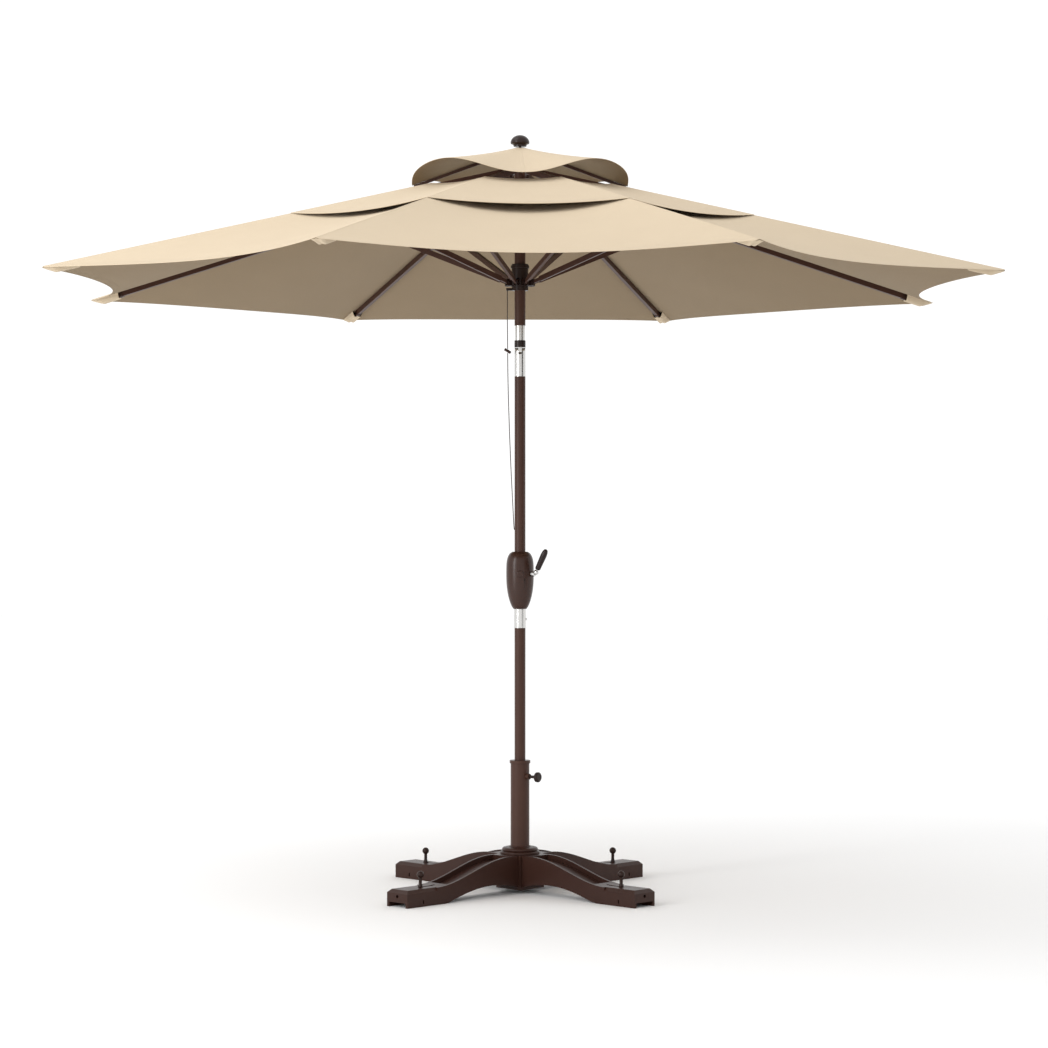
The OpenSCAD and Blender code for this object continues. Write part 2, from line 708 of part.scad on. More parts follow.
// ---------- cloth ----------

half_step = rib_step / 2;
gore_half = half_step - 0.02;

// Where a heading lies on its panel: 1 at the rib and 0 at the middle of the panel.
function across(f) = tan(half_step - abs(f)) / tan(half_step);
// Radius of an edge that curves in by dip from the straight line between two corners at radius r.
function edge_r(r, dip, f) = (r * cos(half_step) - dip * (1 - pow(across(f), 2))) / cos(half_step - abs(f));

// The cloth hangs away from the seam on both sides, so it clears the rib by arm_clear only at
// the rib's edges, and by rib_gap at its middle. It falls most where the main canopy begins.
arm_clear = 0.6;
edge_turn = asin(rib_w / 2 / main_inner_r);
edge_fall = tan(rib_slope) * main_inner_r * (cos(half_step - edge_turn) / cos(half_step) - 1);
edge_sag = panel_sag * (1 - pow(across(edge_turn), 2))
    * sqrt(main_inner_r / edge_r(canopy_r, hem_curve, edge_turn));
rib_gap = arm_clear + edge_fall + edge_sag;

// Height of a flat panel that lies on the ribs.
function flat_z(r, f) = crown_z + rib_h / 2 / cos(rib_slope) + rib_gap + cloth_t
    - tan(rib_slope) * (r * cos(half_step - abs(f)) / cos(half_step) - hinge_r);
function main_z(r, f) = flat_z(r, f)
    - panel_sag * (1 - pow(across(f), 2)) * sqrt(r / edge_r(canopy_r, hem_curve, f));
function flounce_z(r, f) = flat_z(r, f) + cloth_t + 0.8
    - flounce_sag * (1 - pow(across(f), 2)) * r / edge_r(flounce_r, 0, f);

// A closed sheet from a grid of top points, rows by columns, thickness t straight down.
module sheet(top, t) {
    rows = len(top);
    cols = len(top[0]);
    count = rows * cols;
    flat = [for (row = top) for (p = row) p];
    low = [for (p = flat) p - [0, 0, t]];
    up_faces = [for (r = [0:rows - 2]) for (c = [0:cols - 2]) each [
        [r * cols + c, (r + 1) * cols + c + 1, r * cols + c + 1],
        [r * cols + c, (r + 1) * cols + c, (r + 1) * cols + c + 1]
    ]];
    down_faces = [for (f = up_faces) [f[0] + count, f[2] + count, f[1] + count]];
    rim = concat(
        [for (c = [0:cols - 1]) c],
        [for (r = [1:rows - 1]) r * cols + cols - 1],
        [for (c = [cols - 2:-1:0]) (rows - 1) * cols + c],
        [for (r = [rows - 2:-1:1]) r * cols]
    );
    n = len(rim);
    side_faces = [for (k = [0:n - 1]) let (a = rim[k], b = rim[(k + 1) % n]) each [
        [a, b, b + count], [a, b + count, a + count]
    ]];
    polyhedron(points = concat(flat, low), faces = concat(up_faces, down_faces, side_faces));
}

// The cloth that one rib carries: half a panel each side of it, in the main canopy and the flounce.
module gore(i) {
    cols = 12;
    main_rows = 8;
    flounce_rows = 5;
    function turn(k) = -gore_half + 2 * gore_half * k / cols;
    function at(r, f, z) = [r * cos(f), r * sin(f), z];
    color(cloth) rotate([0, 0, rib_heading(i)]) {
        sheet([for (j = [0:main_rows]) [for (k = [0:cols]) let (
            f = turn(k),
            inner = edge_r(main_inner_r, 0, f),
            r = inner + (edge_r(canopy_r, hem_curve, f) - inner) * j / main_rows
        ) at(r, f, main_z(r, f))]], cloth_t);
        sheet([for (j = [0:flounce_rows]) [for (k = [0:cols]) let (
            f = turn(k),
            inner = edge_r(vent_r, 0, f),
            r = inner + (edge_r(flounce_r, 0, f) - inner) * j / flounce_rows
        ) at(r, f, flounce_z(r, f))]], cloth_t);
    }
}

// The vent cap: one cloth on four arms, its edge rising between them.
module vent_cap() {
    rows = 7;
    cols = 48;
    inner = stem_r + 1;
    // fuller beside the left and right arms than beside the front and back ones
    function wave(f) = pow(abs(sin(2 * f)), 2 - 1.2 * pow(sin(f), 2));
    function cap_edge(f) = cap_r + (cap_side_r - cap_r) * wave(f);
    function cap_z(r, f) = arm_z - tan(cap_slope) * (r - arm_pivot_r) + arm_h / 2 / cos(cap_slope)
        + arm_clear + cloth_t + cap_lift * wave(f) * pow(r / cap_side_r, 1.35);
    function cap_point(j, k, drop) = let (
        f = 360 * k / cols,
        r = inner + (cap_edge(f) - inner) * j / rows
    ) [r * cos(f), r * sin(f), cap_z(r, f) - drop];
    ring = cols;
    top = [for (j = [0:rows]) for (k = [0:cols - 1]) cap_point(j, k, 0)];
    low = [for (j = [0:rows]) for (k = [0:cols - 1]) cap_point(j, k, cloth_t)];
    n = len(top);
    top_faces = [for (j = [0:rows - 1]) for (k = [0:cols - 1]) let (m = (k + 1) % ring) each [
        [j * ring + k, (j + 1) * ring + m, (j + 1) * ring + k],
        [j * ring + k, j * ring + m, (j + 1) * ring + m]
    ]];
    low_faces = [for (f = top_faces) [f[0] + n, f[2] + n, f[1] + n]];
    edge_faces = [for (k = [0:cols - 1]) let (m = (k + 1) % ring, a = rows * ring) each [
        [k, n + k, n + m], [k, n + m, m],
        [a + k, a + m, a + m + n], [a + k, a + m + n, a + k + n]
    ]];
    color(cloth) rotate([0, 0, arm_heading(1)])
        polyhedron(points = concat(top, low), faces = concat(top_faces, low_faces, edge_faces));
}

// ---------- pull cord ----------

// A straight-sided eight-sided tube through the route's points, which all lie in one upright plane.
module cord_run(route) {
    per = 5;
    sides = 8;
    spots = concat(
        [for (k = [0:len(route) - 2]) for (s = [0:per - 1]) route[k] + (route[k + 1] - route[k]) * s / per],
        [route[len(route) - 1]]
    );
    rings = len(spots);
    points = [for (p = spots) for (s = [0:sides - 1])
        p + cord_d / 2 * [cos(360 * s / sides), sin(360 * s / sides), 0]];
    walls = [for (r = [0:rings - 2]) for (s = [0:sides - 1]) let (t = (s + 1) % sides) each [
        [r * sides + s, (r + 1) * sides + s, (r + 1) * sides + t],
        [r * sides + s, (r + 1) * sides + t, r * sides + t]
    ]];
    first = [for (s = [0:sides - 1]) s];
    last = [for (s = [sides - 1:-1:0]) (rings - 1) * sides + s];
    polyhedron(points = points, faces = concat(walls, [first], [last]));
}

module pull_cord() {
    color(bronze) {
        cord_run(cord_high);
        cord_run(cord_low);
    }
}

// Small stop bar on the cord.
module cord_toggle() {
    slant = 122;
    len = 26;
    color(bronze) translate(toggle_at) rotate([0, slant, 0]) rotate_extrude() polygon([
        [0, -len / 2], [3.5, -len / 2], [5, 2 - len / 2], [5, len / 2 - 2], [3.5, len / 2], [0, len / 2]
    ]);
}

leg(1);  // leg_1
leg(2);  // leg_2
leg(3);  // leg_3
leg(4);  // leg_4
hub_post();
hub_bolts();
base_tube();
tube_collar();
clamp_knob();
ball_bolt(1);  // ball_bolt_1
ball_bolt(2);  // ball_bolt_2
ball_bolt(3);  // ball_bolt_3
ball_bolt(4);  // ball_bolt_4
lower_pole();
pole_ferrule();
ferrule_button();
housing_front();
housing_back();
cord_spool();
crank_arm();
crank_grip();
mid_pole();
tilt_sleeve();
tilt_spigot();
tilt_collar();
upper_pole();
crown_hub();
finial();
runner();
for (i = [1:4]) cap_arm(i);
vent_cap();
for (i = [1:8]) rib(i);
for (i = [1:8]) strut(i);
for (i = [1:8]) gore(i);
pull_cord();
cord_toggle();
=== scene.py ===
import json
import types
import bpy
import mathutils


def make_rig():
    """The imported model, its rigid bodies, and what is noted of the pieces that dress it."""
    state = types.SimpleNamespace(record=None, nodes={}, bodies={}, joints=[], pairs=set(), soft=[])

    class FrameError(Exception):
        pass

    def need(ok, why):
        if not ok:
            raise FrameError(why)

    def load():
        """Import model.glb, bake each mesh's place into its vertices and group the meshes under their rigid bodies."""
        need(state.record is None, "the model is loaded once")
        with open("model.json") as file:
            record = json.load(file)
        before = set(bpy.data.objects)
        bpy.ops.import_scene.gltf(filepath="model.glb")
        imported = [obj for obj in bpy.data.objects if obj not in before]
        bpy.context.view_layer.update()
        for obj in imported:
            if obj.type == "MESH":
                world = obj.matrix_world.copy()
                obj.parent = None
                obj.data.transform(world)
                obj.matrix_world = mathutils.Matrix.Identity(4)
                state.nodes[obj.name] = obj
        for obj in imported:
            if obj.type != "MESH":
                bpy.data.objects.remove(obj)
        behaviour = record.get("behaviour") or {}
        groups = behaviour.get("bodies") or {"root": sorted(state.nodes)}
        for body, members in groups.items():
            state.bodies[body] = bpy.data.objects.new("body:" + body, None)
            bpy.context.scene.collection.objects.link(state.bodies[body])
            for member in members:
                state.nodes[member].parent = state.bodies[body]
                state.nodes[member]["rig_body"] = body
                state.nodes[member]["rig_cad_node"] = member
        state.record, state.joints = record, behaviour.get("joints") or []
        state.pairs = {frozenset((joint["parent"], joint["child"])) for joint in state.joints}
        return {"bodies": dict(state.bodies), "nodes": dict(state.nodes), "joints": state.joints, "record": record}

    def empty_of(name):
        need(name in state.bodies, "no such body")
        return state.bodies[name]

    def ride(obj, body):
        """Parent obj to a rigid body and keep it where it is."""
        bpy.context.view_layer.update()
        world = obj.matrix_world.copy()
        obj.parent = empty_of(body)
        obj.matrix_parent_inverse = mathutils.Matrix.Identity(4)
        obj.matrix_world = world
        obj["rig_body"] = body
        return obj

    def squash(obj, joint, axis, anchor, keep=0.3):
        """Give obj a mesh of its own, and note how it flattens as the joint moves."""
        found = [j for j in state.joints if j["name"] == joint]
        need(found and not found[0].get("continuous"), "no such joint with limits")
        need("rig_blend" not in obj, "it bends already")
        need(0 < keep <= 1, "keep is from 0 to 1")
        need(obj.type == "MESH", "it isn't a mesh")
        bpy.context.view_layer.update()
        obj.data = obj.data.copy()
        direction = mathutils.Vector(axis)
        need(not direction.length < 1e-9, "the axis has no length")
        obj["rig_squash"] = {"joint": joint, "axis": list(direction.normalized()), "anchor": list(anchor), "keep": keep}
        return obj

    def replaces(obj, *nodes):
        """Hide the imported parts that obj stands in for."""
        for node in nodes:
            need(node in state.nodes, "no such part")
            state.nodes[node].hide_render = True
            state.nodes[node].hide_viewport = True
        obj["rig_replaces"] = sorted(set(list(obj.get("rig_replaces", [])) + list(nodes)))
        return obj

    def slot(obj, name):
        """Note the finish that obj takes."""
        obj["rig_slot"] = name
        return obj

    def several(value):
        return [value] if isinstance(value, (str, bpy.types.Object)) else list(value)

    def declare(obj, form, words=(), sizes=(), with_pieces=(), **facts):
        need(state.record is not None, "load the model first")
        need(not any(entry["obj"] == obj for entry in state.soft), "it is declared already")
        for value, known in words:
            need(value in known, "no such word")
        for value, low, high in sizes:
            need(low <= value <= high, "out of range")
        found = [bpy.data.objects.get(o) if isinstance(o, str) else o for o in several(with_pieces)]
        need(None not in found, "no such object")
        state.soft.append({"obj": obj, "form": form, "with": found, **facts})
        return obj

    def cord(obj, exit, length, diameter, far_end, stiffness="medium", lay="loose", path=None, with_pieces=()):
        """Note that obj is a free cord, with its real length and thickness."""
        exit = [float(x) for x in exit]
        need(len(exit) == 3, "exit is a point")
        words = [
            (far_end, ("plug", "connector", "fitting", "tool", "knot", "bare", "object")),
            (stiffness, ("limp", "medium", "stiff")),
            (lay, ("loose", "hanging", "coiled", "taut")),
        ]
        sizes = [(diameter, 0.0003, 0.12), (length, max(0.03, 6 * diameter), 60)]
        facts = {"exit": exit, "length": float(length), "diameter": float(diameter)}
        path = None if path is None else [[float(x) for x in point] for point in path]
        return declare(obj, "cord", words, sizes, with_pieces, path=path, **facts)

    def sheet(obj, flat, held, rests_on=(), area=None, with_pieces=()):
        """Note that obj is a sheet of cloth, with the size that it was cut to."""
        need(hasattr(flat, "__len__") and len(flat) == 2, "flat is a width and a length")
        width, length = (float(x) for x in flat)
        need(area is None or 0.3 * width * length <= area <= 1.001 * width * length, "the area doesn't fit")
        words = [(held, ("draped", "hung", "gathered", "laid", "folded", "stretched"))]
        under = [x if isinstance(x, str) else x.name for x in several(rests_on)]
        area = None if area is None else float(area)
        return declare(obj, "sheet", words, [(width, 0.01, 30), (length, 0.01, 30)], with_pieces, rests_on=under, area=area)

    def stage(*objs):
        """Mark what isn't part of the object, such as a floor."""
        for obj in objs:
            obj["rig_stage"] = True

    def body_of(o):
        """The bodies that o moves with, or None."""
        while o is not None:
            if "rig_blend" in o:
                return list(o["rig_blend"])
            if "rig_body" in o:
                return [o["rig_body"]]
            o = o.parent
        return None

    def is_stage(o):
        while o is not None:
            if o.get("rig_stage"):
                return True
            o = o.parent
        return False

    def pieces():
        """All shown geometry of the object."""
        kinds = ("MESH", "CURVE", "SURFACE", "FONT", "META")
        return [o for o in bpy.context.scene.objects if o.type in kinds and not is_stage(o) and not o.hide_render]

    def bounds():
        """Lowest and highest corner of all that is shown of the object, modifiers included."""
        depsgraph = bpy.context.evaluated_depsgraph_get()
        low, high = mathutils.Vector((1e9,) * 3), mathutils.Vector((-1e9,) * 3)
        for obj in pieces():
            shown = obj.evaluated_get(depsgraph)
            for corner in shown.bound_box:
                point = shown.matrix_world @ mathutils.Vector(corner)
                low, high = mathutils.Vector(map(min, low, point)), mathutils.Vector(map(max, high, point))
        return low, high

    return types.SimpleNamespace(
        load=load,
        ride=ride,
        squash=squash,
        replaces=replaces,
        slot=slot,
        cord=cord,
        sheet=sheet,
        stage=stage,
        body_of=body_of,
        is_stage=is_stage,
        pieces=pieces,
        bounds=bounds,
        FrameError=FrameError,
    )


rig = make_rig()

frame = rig.load()

import json
import math

import bpy
from mathutils import Matrix, Vector

cad_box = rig.bounds()

# ---------- Camera ----------
# A long lens a little above half height, far enough off that the near and far
# corners of the canopy show almost at one size.

camera_data = bpy.data.cameras.new("camera")
camera_data.sensor_width = 36
camera_data.lens = 93.7
camera = bpy.data.objects.new("camera", camera_data)
camera.location = (-0.0754, -9.5, 1.266)
camera.rotation_euler = (math.radians(90) + 0.0012, 0, -0.0094)
bpy.context.collection.objects.link(camera)
bpy.context.scene.camera = camera

# ---------- Pull cord and toggle ----------
# A thin braided cord, 3 mm across, from the eyelet of the runner down to a small stop
# bar, and from there beside the pole to the hole that it goes into above the housing.


class Value:
    """A value or colour in a material's nodes. Arithmetic on it adds Math nodes."""

    def __init__(self, tree, socket):
        self.tree = tree
        self.socket = socket

    def add(self, kind, settings, inputs, output=0):
        """A new node's output: its settings are set first, then its sockets are set or linked."""
        made = self.tree.nodes.new(kind)
        for key, setting in settings.items():
            setattr(made, key, setting)
        for key, value in inputs.items():
            if isinstance(value, Value):
                self.tree.links.new(value.socket, made.inputs[key])
            else:
                made.inputs[key].default_value = value
        return Value(self.tree, made.outputs[output])

    def math(self, operation, *values):
        return self.add("ShaderNodeMath", {"operation": operation}, dict(enumerate(values)))

    def __add__(self, other):
        return self.math("ADD", self, other)

    def __sub__(self, other):
        return self.math("SUBTRACT", self, other)

    def __rsub__(self, other):
        return self.math("SUBTRACT", other, self)

    def __mul__(self, other):
        return self.math("MULTIPLY", self, other)

    def __truediv__(self, other):
        return self.math("DIVIDE", self, other)

    __radd__ = __add__
    __rmul__ = __mul__

    def sine(self):
        return self.math("SINE", self)

    def near(self, place, width):
        """1 where the value is at place, falling to 0 at width from it."""
        return self.math("MAXIMUM", 1 - self.math("ABSOLUTE", self - place) / width, 0)

    def part(self, axis):
        """One of a vector's three numbers."""
        return self.add("ShaderNodeSeparateXYZ", {}, {0: self}, axis)

    def scaled(self, sizes):
        return self.add("ShaderNodeVectorMath", {"operation": "MULTIPLY"}, {0: self, 1: sizes})

    def noise(self, scale, detail=2.0):
        return self.add("ShaderNodeTexNoise", {}, {"Vector": self, "Scale": scale, "Detail": detail})

    def blend(self, colour, other):
        """From colour to other as this value goes from 0 to 1."""
        names = {6: colour, 7: other, 0: self}
        return self.add("ShaderNodeMix", {"data_type": "RGBA"}, names, 2)

    def bump(self, height):
        """A normal with this value's relief, height metres deep."""
        return self.add("ShaderNodeBump", {}, {"Distance": height, "Height": self}, "Normal")


def new_finish(name):
    """A new material, its shader, and its object coordinates to begin patterns from."""
    finish = bpy.data.materials.new(name)
    finish.use_nodes = True
    tree = finish.node_tree
    shader = tree.nodes["Principled BSDF"]
    place = Value(tree, None).add("ShaderNodeTexCoord", {}, {}, "Object")
    return finish, shader, place


def connect(shader, **sockets):
    """Links values to the shader's sockets, whose names have _ for a space here."""
    for name, value in sockets.items():
        value.tree.links.new(value.socket, shader.inputs[name.replace("_", " ")])


def braided_finish():
    """Dark polyester braid: two sets of strands that cross round the cord."""
    finish, shader, place = new_finish("cord braid")
    uv = place.add("ShaderNodeUVMap", {"uv_map": "lay"}, {})
    around = uv.part(0)
    along = uv.part(1)
    strand_count = 4
    lay_length = 0.004
    one_way = ((around * strand_count + along / lay_length) * math.tau).sine()
    other_way = ((around * strand_count - along / lay_length) * math.tau).sine()
    strands = one_way.math("MAXIMUM", one_way, other_way)
    connect(
        shader,
        Base_Color=(strands * 0.5 + 0.5).blend((0.016, 0.011, 0.009, 1), (0.075, 0.055, 0.045, 1)),
        Normal=strands.bump(0.0003),
    )
    shader.inputs["Roughness"].default_value = 0.8
    return finish


def smooth_line(points, spacing):
    """Points every spacing metres or so on a smooth curve through the given ones."""
    ends = [points[0], *points, points[-1]]
    line = []
    for a, b, c, d in zip(ends, ends[1:], ends[2:], ends[3:]):
        steps = max(1, round((c - b).length / spacing))
        for k in range(steps):
            t = k / steps
            bend = (2 * a - 5 * b + 4 * c - d) * t**2 + (3 * b - a - 3 * c + d) * t**3
            line.append(0.5 * (2 * b + (c - a) * t + bend))
    return [*line, points[-1]]


def tube_along(name, line, radius, sides, finish):
    """A closed round tube along a line, with its turns and metres in a UV map."""
    points = []
    for k, at in enumerate(line):
        ahead = (line[min(k + 1, len(line) - 1)] - line[max(k - 1, 0)]).normalized()
        side = ahead.cross(Vector((0, 1, 0))).normalized()
        up = side.cross(ahead)
        for s in range(sides):
            angle = math.tau * s / sides
            points.append(at + radius * (side * math.cos(angle) + up * math.sin(angle)))
    faces = []
    lay = []
    for k in range(len(line) - 1):
        for s in range(sides):
            t = (s + 1) % sides
            faces.append((k * sides + s, k * sides + t, (k + 1) * sides + t, (k + 1) * sides + s))
            low = k * cord_step
            lay += [(s / sides, low), ((s + 1) / sides, low)]
            lay += [((s + 1) / sides, low + cord_step), (s / sides, low + cord_step)]
    last = (len(line) - 1) * sides
    faces.append(tuple(reversed(range(sides))))
    faces.append(tuple(range(last, last + sides)))
    lay += [(0, 0)] * (2 * sides)
    mesh = bpy.data.meshes.new(name)
    mesh.from_pydata(points, [], faces)
    layer = mesh.uv_layers.new(name="lay")
    for loop, uv in zip(layer.data, lay):
        loop.uv = uv
    mesh.materials.append(finish)
    mesh.shade_smooth()
    piece = bpy.data.objects.new(name, mesh)
    bpy.context.collection.objects.link(piece)
    return piece


def deselect_all():
    bpy.ops.object.select_all(action="DESELECT")


def select_only(piece):
    deselect_all()
    piece.select_set(True)
    bpy.context.view_layer.objects.active = piece


def settle(piece, name, finish, smooth_angle=40):
    """Names a modelled piece, puts its place in its mesh, and shades it."""
    select_only(piece)
    bpy.ops.object.transform_apply(location=True, rotation=True, scale=True)
    bpy.ops.object.shade_smooth_by_angle(angle=math.radians(smooth_angle))
    piece.name = name
    piece.data.name = name
    piece.data.materials.clear()
    piece.data.materials.append(finish)
    return piece


def apply_modifier(piece, kind, **settings):
    modifier = piece.modifiers.new(kind.lower(), kind)
    for key, value in settings.items():
        setattr(modifier, key, value)
    bpy.context.view_layer.objects.active = piece
    bpy.ops.object.modifier_apply(modifier=modifier.name)


cord_width = 0.003
cord_step = 0.012
# Both runs hang in the plane of the poles' axis. Their points are x and z in metres.
high_route = [(-0.044, 2.099), (-0.044, 2.05), (-0.044, 1.99), (-0.0435, 1.94), (-0.043, 1.887)]
low_route = [
    (-0.043, 1.873), (-0.0425, 1.82), (-0.0415, 1.76), (-0.04, 1.7), (-0.038, 1.64), (-0.036, 1.58),
    (-0.0335, 1.52), (-0.031, 1.46), (-0.028, 1.4), (-0.025, 1.34), (-0.0224, 1.29), (-0.0206, 1.262),
    (-0.019, 1.257),
]
# The runner takes the cord down with it, into a short heap above the housing, where each
# run keeps only this share of its height.
heap_at = (0, 0, 1.225)
heap_share = 0.0114
cord_finish = braided_finish()


def cord_run(name, route, body):
    line = smooth_line([Vector((x, 0, z)) for x, z in route], cord_step)
    run = tube_along(name, line, cord_width / 2, 10, cord_finish)
    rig.ride(run, body)
    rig.squash(run, "runner_slide", axis=(0, 0, 1), anchor=heap_at, keep=heap_share)
    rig.slot(run, "cord")
    return run, line


def moulded_finish(name, colour, grain):
    """Moulded nylon: an even colour with a fine spark-eroded grain."""
    finish, shader, place = new_finish(name)
    cloud = place.noise(9.0, 3.0)
    pores = place.noise(grain, 2.0)
    dark = [0.82 * c for c in colour]
    connect(
        shader,
        Base_Color=cloud.blend((*dark, 1), (*colour, 1)),
        Roughness=0.24 + 0.12 * cloud,
        Normal=pores.bump(0.00006),
    )
    shader.inputs["Specular IOR Level"].default_value = 0.3
    return finish


dark_nylon = moulded_finish("dark nylon", (0.044, 0.019, 0.013), 1400)
glossy_nylon = moulded_finish("glossy nylon", (0.018, 0.008, 0.006), 700)

toggle_at = Vector((-0.043, 0, 1.88))
toggle_slant = math.radians(122)
deselect_all()
bpy.ops.mesh.primitive_cylinder_add(
    vertices=32, radius=0.0048, depth=0.0255, location=toggle_at, rotation=(0, toggle_slant, 0)
)
cord_stop = bpy.context.object
apply_modifier(cord_stop, "BEVEL", width=0.0019, segments=4, limit_method="ANGLE")
settle(cord_stop, "cord_stop", dark_nylon)
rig.ride(cord_stop, "lower_mast")
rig.squash(cord_stop, "runner_slide", axis=(0, 0, 1), anchor=heap_at, keep=heap_share)
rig.slot(cord_stop, "cord")
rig.replaces(cord_stop, "cord_toggle")

high_cord, high_line = cord_run("cord_above_stop", high_route, "upper_mast")
low_cord, low_line = cord_run("cord_below_stop", low_route, "lower_mast")
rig.replaces(high_cord, "pull_cord")
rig.replaces(low_cord, "pull_cord")
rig.cord(
    high_cord, exit=high_line[0], length=0.212, diameter=cord_width, far_end="fitting",
    stiffness="limp", lay="taut", path=high_line, with_pieces=[cord_stop],
)
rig.cord(
    low_cord, exit=low_line[0], length=0.6166, diameter=cord_width, far_end="object",
    stiffness="limp", lay="taut", path=low_line,
)

# ---------- Base: four cast legs ----------
# Each leg is a cast iron channel that arches from the post down to its foot, with a
# sunk panel along its sloping top. Two bolts hold it to the post. Bronze powder coat.


def coated_finish(name, colour, peel, height):
    """Bronze powder coat: a faint mottle, orange peel, and a satin gloss that varies a little."""
    finish, shader, place = new_finish(name)
    mottle = place.noise(14.0, 4.0)
    fleck = place.noise(peel * 2.5, 2.0)
    skin = place.noise(peel, 3.0)
    dark = [0.78 * c for c in colour]
    light = [1.12 * c for c in colour]
    connect(
        shader,
        Base_Color=(mottle * 0.7 + fleck * 0.3).blend((*dark, 1), (*light, 1)),
        Roughness=0.30 + 0.16 * mottle,
        Normal=skin.bump(height),
    )
    shader.inputs["Specular IOR Level"].default_value = 0.18
    shader.inputs["Coat Weight"].default_value = 0.05
    shader.inputs["Coat Roughness"].default_value = 0.16
    return finish


cast_coat = coated_finish("cast bronze coat", (0.040, 0.0165, 0.0115), 420, 0.0004)
# Degrees between two faces from which their edge is rounded over.
sharp_corner = 32


def rounded_part(node, word, edge, finish, slot):
    """Stands a copy of a part in for it, with its mesh merged and its sharp edges rounded over."""
    part = frame["nodes"][node]
    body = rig.body_of(part)[0]
    piece = bpy.data.objects.new(node + "_" + word, part.data.copy())
    bpy.context.collection.objects.link(piece)
    select_only(piece)
    bpy.ops.object.mode_set(mode="EDIT")
    bpy.ops.mesh.select_all(action="SELECT")
    bpy.ops.mesh.remove_doubles(threshold=0.00001)
    bpy.ops.mesh.dissolve_limited(angle_limit=math.radians(0.5))
    bpy.ops.object.mode_set(mode="OBJECT")
    apply_modifier(
        piece, "BEVEL", width=edge, segments=2, limit_method="ANGLE",
        angle_limit=math.radians(sharp_corner), miter_outer="MITER_ARC",
    )
    settle(piece, node + "_" + word, finish)
    apply_modifier(piece, "WEIGHTED_NORMAL", keep_sharp=True)
    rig.ride(piece, body)
    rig.slot(piece, slot)
    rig.replaces(piece, node)
    return piece


for i in range(1, 5):
    rounded_part(f"leg_{i}", "casting", 0.0018, cast_coat, "cast_bronze")

# ---------- Base: post and its bolts ----------
# A square cast iron post in the same coat, which the legs close round. Steel bolts run
# through each leg into it, and down through the collar's flange.

rounded_part("hub_post", "casting", 0.0018, cast_coat, "cast_bronze")
steel_coat = coated_finish("steel bronze coat", (0.064, 0.029, 0.020), 900, 0.00018)
rounded_part("hub_bolts", "screws", 0.0005, steel_coat, "bronze_steel")

# ---------- Base: collar, tube and clamp knob ----------
# A turned cast collar bolts down on the post and holds the steel tube, whose rolled lip
# guides the pole. The nylon knob's stud runs through a boss and presses on the pole.

rounded_part("tube_collar", "casting", 0.0009, cast_coat, "cast_bronze")
rounded_part("base_tube", "sleeve", 0.0008, steel_coat, "bronze_steel")
rounded_part("clamp_knob", "moulding", 0.0008, glossy_nylon, "bronze_plastic")

# ---------- Base: ball-head bolts ----------
# A ball on a threaded stem in each foot's slot, turned from steel and glossy coated, with
# a washer above the casting and a nut below it.

glossy_coat = coated_finish("glossy bronze coat", (0.026, 0.012, 0.009), 500, 0.00008)
for i in range(1, 5):
    rounded_part(f"ball_bolt_{i}", "turning", 0.0004, glossy_coat, "bronze_steel")

# ---------- Lower pole, ferrule and lock button ----------
# Coated steel tube. A bright sleeve covers the joint below the housing, and a sprung
# button through both locks it.


def bright_finish(name, colour, roughness, stretch):
    """Polished steel whose colour darkens along noise lines; stretch has the lines' pitch along x, y and z. Stretched
    along a part, the lines are hair lines and also painted dark reflection bands.
    """
    finish, shader, place = new_finish(name)
    lines = place.scaled(stretch).noise(1.0, 4.0)
    cloud = place.noise(30.0, 2.0)
    # The darker colour along the lines is partly painted reflection.
    dark = [0.62 * c for c in colour]
    connect(
        shader,
        Base_Color=lines.blend((*dark, 1), (*colour, 1)),
        Roughness=roughness + 0.10 * lines + 0.06 * cloud,
        Normal=lines.bump(0.00004),
    )
    shader.inputs["Metallic"].default_value = 1.0
    return finish


# The long dark lines along this steel are hair lines and also painted reflection bands.
bright_steel_painted_bands = bright_finish("drawn bright steel", (0.80, 0.79, 0.77), 0.14, (260, 260, 4))
rounded_part("lower_pole", "tube", 0.0004, steel_coat, "bronze_steel")
rounded_part("pole_ferrule", "sleeve", 0.0005, bright_steel_painted_bands, "bright_steel")
rounded_part("ferrule_button", "pin", 0.0005, bright_steel_painted_bands, "bright_steel")

# ---------- Crank housing ----------
# Two moulded halves that screw together round the pole, with the line's spool inside. The
# bright crank comes out at the right and its grip spins on the spindle.

rounded_part("housing_front", "shell", 0.0008, dark_nylon, "bronze_plastic")
rounded_part("housing_back", "shell", 0.0008, dark_nylon, "bronze_plastic")
rounded_part("cord_spool", "moulding", 0.0006, dark_nylon, "spool_plastic")
cast_bright = bright_finish("polished crank", (0.86, 0.86, 0.85), 0.12, (300, 300, 300))
rounded_part("crank_arm", "casting", 0.0006, cast_bright, "bright_steel")
rounded_part("crank_grip", "grip", 0.0006, glossy_nylon, "bronze_plastic")

# ---------- Middle pole, tilt joint and upper pole ----------
# A bright sleeve on the middle pole and a spigot under the upper one meet in a hinge. The
# dark collar over the spigot turns to tilt the canopy.

rounded_part("mid_pole", "tube", 0.0004, steel_coat, "bronze_steel")
rounded_part("tilt_sleeve", "sleeve", 0.0005, bright_steel_painted_bands, "bright_steel")
rounded_part("tilt_spigot", "spigot", 0.0005, bright_steel_painted_bands, "bright_steel")
rounded_part("tilt_collar", "ring", 0.0005, glossy_nylon, "bronze_plastic")
rounded_part("upper_pole", "tube", 0.0004, steel_coat, "bronze_steel")

# ---------- Crown and runner ----------
# The crown is a slotted nylon disc on the pole's top. The runner slides on the pole and
# has a slotted ear for each strut, with a peened pin across it.

